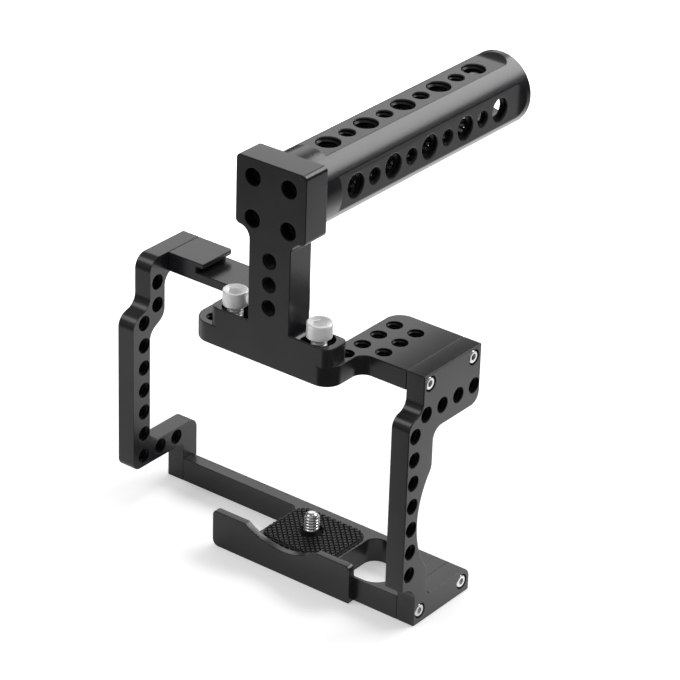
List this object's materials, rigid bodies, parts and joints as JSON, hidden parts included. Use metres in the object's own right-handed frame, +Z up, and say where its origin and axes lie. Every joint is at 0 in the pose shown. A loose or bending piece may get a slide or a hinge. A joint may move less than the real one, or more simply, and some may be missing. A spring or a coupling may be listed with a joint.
{
  "type": "camera cage",
  "caption": "Open metal frame that screws to a camera body, with rows of tapped holes, a captive camera screw and a tubular top handle.",
  "frame": {"origin": "camera screw's axis at the face the camera sits on, the top of the pad", "axes": "+Z up along the camera screw, +X to the right along the camera's width seen from the lens side's left plate to the right plate, +Y from the front of the cage to its back, along the handle"},
  "size_m": [0.15, 0.1488, 0.1876],
  "materials": {
    "black_anodised": "fine-blasted, satin black anodised",
    "rubber": "matt, moulded with a fine diamond pattern",
    "stainless_steel": "bright machined",
    "black_steel": "black oxide"
  },
  "bodies": {
    "cage": {"top_plate": "black_anodised", "left_side_plate": "black_anodised", "right_side_plate": "black_anodised", "bottom_plate": "black_anodised", "anti_slip_pad": "rubber", "right_top_front_screw": "stainless_steel", "right_top_rear_screw": "stainless_steel", "right_bottom_front_screw": "stainless_steel", "right_bottom_rear_screw": "stainless_steel", "left_top_front_screw": "stainless_steel", "left_top_rear_screw": "stainless_steel", "left_bottom_screw": "stainless_steel"},
    "captive_screw": {"camera_screw": "stainless_steel", "camera_screw_clip": "black_steel"},
    "handle": {"handle_bracket": "black_anodised", "handle_grip": "black_anodised", "grip_screw_1": "black_steel", "grip_screw_2": "black_steel", "grip_screw_3": "black_steel", "grip_screw_4": "black_steel"},
    "left_clamp_screw": {"handle_screw_left": "stainless_steel"},
    "right_clamp_screw": {"handle_screw_right": "stainless_steel"}
  },
  "joints": [
    {"name": "camera_screw_turn", "type": "hinge", "parent": "cage", "child": "captive_screw", "pos_m": [0, 0, 0], "axis": [0, 0, 1], "continuous": true},
    {"name": "handle_slide", "type": "slide", "parent": "cage", "child": "handle", "axis": [1, 0, 0], "range_m": [-0.0015, 0.0002]},
    {"name": "handle_screw_left_turn", "type": "hinge", "parent": "cage", "child": "left_clamp_screw", "pos_m": [-0.01785, -0.0289, 0.0992], "axis": [0, 0, 1], "continuous": true},
    {"name": "handle_screw_right_turn", "type": "hinge", "parent": "cage", "child": "right_clamp_screw", "pos_m": [0.02315, -0.0289, 0.0992], "axis": [0, 0, 1], "continuous": true}
  ]
}
